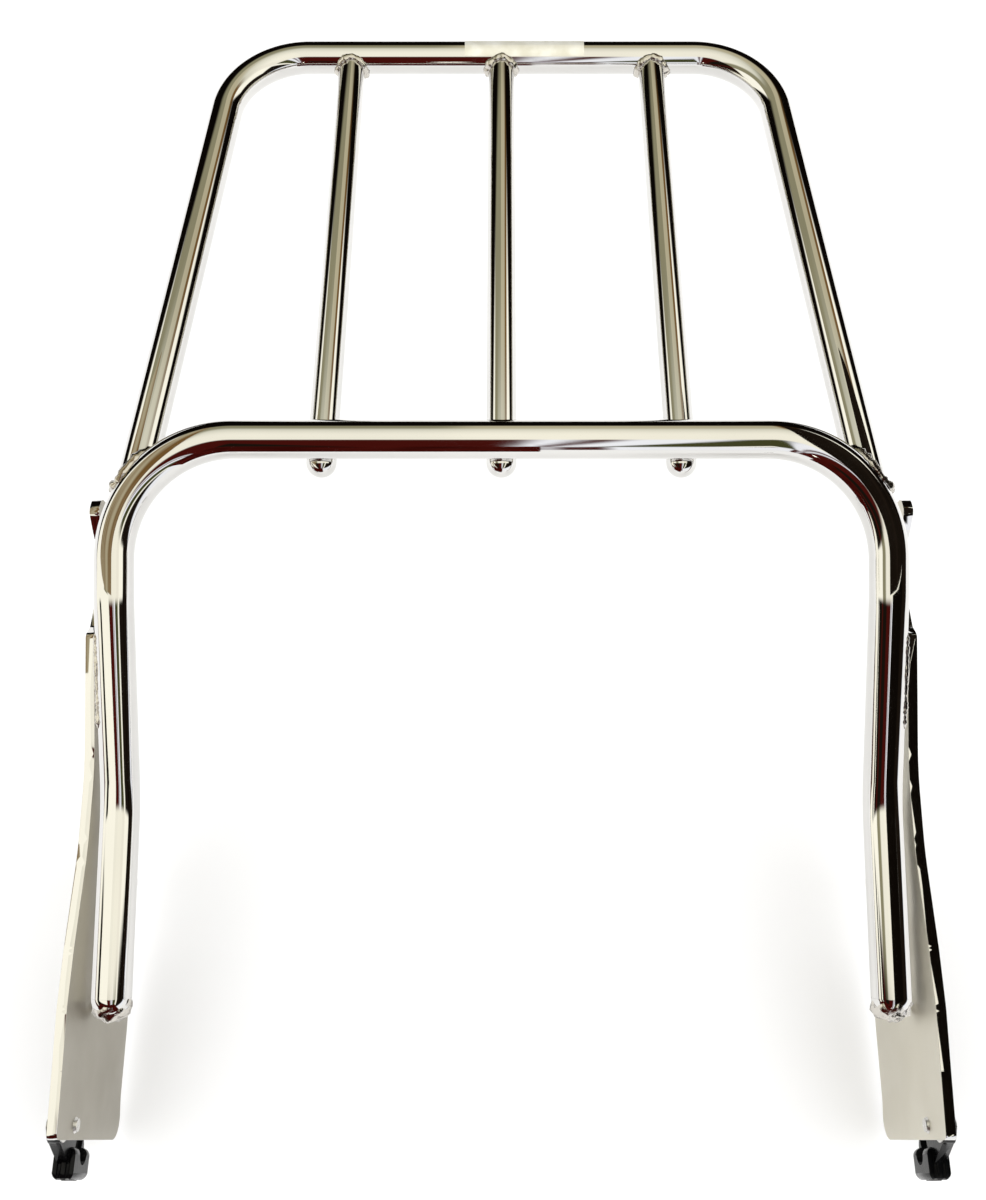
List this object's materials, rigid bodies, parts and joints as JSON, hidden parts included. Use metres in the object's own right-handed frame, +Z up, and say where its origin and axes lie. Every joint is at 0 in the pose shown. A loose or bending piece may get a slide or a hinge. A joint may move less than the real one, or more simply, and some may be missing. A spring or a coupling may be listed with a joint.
{
  "type": "tubular luggage rack",
  "caption": "Chrome tube luggage rack with a slatted tray, a bent hoop on two side plates, and sprung latch hooks that lock it onto docking posts.",
  "frame": {"origin": "midway between the two rear docking notches, on the axis that their docking posts share", "axes": "+X to the rack's right as seen from in front of it, +Y to the rear, along the tray, +Z up, square to the tray"},
  "size_m": [0.3536, 0.5033, 0.1598],
  "materials": {
    "chrome": "bright polished chrome plate over welded steel, with a faint unevenness at the weld beads",
    "black_coating": "glossy black coating, moulded over a steel hook, with slight scuffs",
    "zinc_hardware": "bright zinc plate",
    "spring_steel": "oiled spring wire",
    "label_film": "thin pale film with no lettering"
  },
  "bodies": {
    "rack": {"hoop_tube": "chrome", "tray_loop_tube": "chrome", "slat_left": "chrome", "slat_center": "chrome", "slat_right": "chrome", "slat_plug_left": "chrome", "slat_plug_center": "chrome", "slat_plug_right": "chrome", "side_plate_left": "chrome", "side_plate_right": "chrome", "leg_cap_left": "chrome", "leg_cap_right": "chrome", "pivot_pin_left": "zinc_hardware", "pivot_pin_right": "zinc_hardware", "pivot_washer_left": "zinc_hardware", "pivot_washer_right": "zinc_hardware", "stop_pin_left": "zinc_hardware", "stop_pin_right": "zinc_hardware", "retaining_clip_left": "zinc_hardware", "retaining_clip_right": "zinc_hardware", "latch_spring_left": "spring_steel", "latch_spring_right": "spring_steel", "load_label": "label_film"},
    "latch_left": {"latch_hook_left": "black_coating"},
    "latch_right": {"latch_hook_right": "black_coating"}
  },
  "joints": [
    {"name": "latch_left_swing", "type": "hinge", "parent": "rack", "child": "latch_left", "pos_m": [-0.17285, -0.089, 0.039], "axis": [-1, 0, 0], "range_deg": [0, 60], "stiffness_Nm_per_rad": 0.05, "springref_deg": -40.11, "deforming": ["latch_spring_left"]},
    {"name": "latch_right_swing", "type": "hinge", "parent": "rack", "child": "latch_right", "pos_m": [0.17285, -0.089, 0.039], "axis": [-1, 0, 0], "range_deg": [0, 60], "stiffness_Nm_per_rad": 0.05, "springref_deg": -40.11, "deforming": ["latch_spring_right"]}
  ]
}
